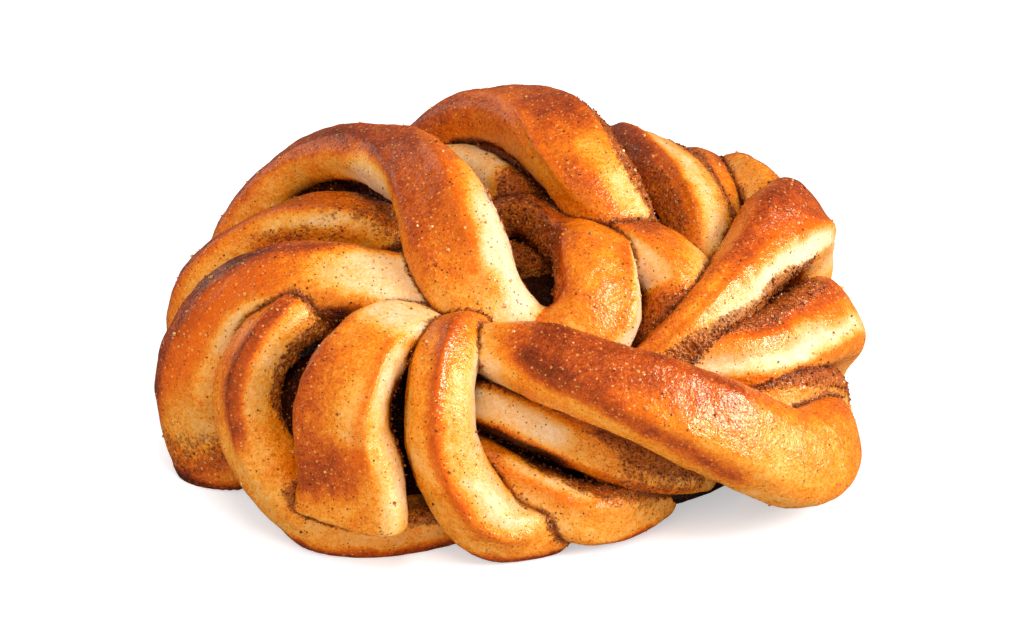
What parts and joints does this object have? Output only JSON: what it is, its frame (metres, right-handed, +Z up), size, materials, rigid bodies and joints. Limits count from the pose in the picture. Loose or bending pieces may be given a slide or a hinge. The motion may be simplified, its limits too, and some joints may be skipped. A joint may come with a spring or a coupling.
{
  "type": "cardamom knot",
  "caption": "Baked sweet dough knot: one long ribbon wound into overlapping strands round an open eye, with a flat underside.",
  "frame": {"origin": "centre of the knot's bounding box in plan, at the level of its flat underside", "axes": "+X along the longest side, +Y away from the viewer of the picture, +Z up, the shortest side"},
  "size_m": [0.1106, 0.0946, 0.0493],
  "materials": {
    "crust": "glazed baked crust, golden to brown"
  },
  "bodies": {
    "root": {"knot": "crust"}
  },
  "joints": []
}
